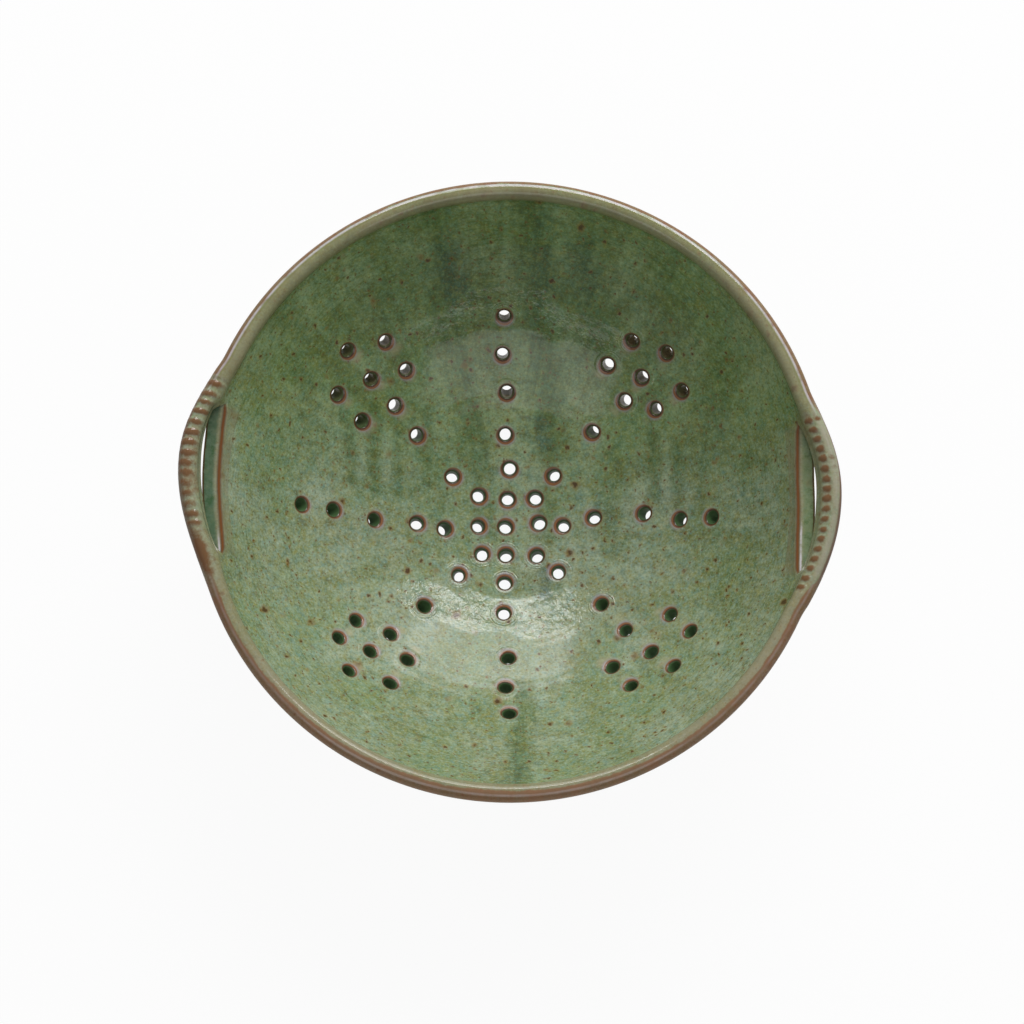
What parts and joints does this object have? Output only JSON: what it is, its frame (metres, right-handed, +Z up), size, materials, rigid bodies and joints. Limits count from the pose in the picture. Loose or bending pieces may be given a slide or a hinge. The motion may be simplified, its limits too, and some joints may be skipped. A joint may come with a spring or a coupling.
{
  "type": "berry colander bowl",
  "caption": "Round stoneware colander bowl on a foot ring, with a rolled rim, a star of drain holes with rosettes, and beaded strap handles cut from the rim.",
  "frame": {"origin": "on the table under the middle of the bowl, at the bottom centre of its box", "axes": "+X through the right handle, +Y towards the far side, +Z up out of the bowl's mouth"},
  "size_m": [0.2094, 0.2, 0.07],
  "materials": {
    "green_glaze": "glossy sage green glaze with iron specks",
    "rim_glaze": "glossy green glaze that breaks brown on edges",
    "bare_stoneware": "unglazed, fired brown"
  },
  "bodies": {
    "root": {"bowl": "green_glaze", "foot_ring": "bare_stoneware", "left_handle": "rim_glaze", "right_handle": "rim_glaze"}
  },
  "joints": []
}
